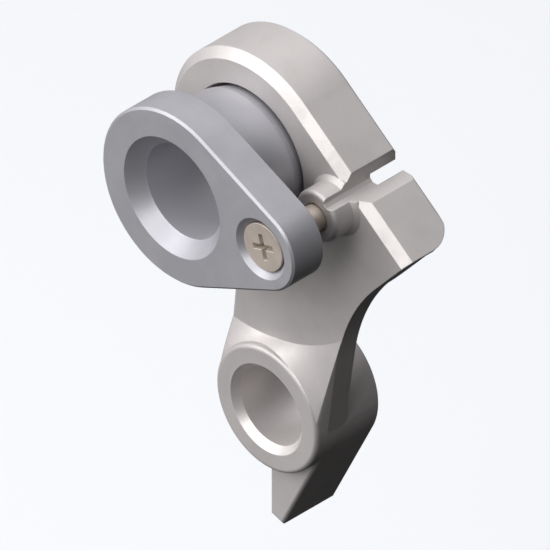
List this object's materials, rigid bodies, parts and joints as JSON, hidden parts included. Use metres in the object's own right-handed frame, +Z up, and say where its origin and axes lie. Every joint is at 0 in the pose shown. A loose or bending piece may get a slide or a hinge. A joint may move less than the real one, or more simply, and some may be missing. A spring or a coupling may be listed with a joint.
{
  "type": "bicycle derailleur hanger",
  "caption": "Through-axle derailleur hanger with a ring, wing and threaded eye, clamped to the frame by a teardrop axle nut and a countersunk locking screw.",
  "frame": {"origin": "on the axle axis, in the plane of the hanger's outboard face, which meets the bicycle frame", "axes": "+X forward, +Y inboard towards the wheel along the axle axis, +Z up"},
  "size_m": [0.0348, 0.0185, 0.0562],
  "materials": {
    "hanger": "satin, machined and bead blasted",
    "axle_nut": "satin, slightly cooler grey",
    "screw": "satin"
  },
  "bodies": {
    "root": {"hanger": "hanger", "axle_nut": "axle_nut", "screw": "screw"}
  },
  "joints": []
}
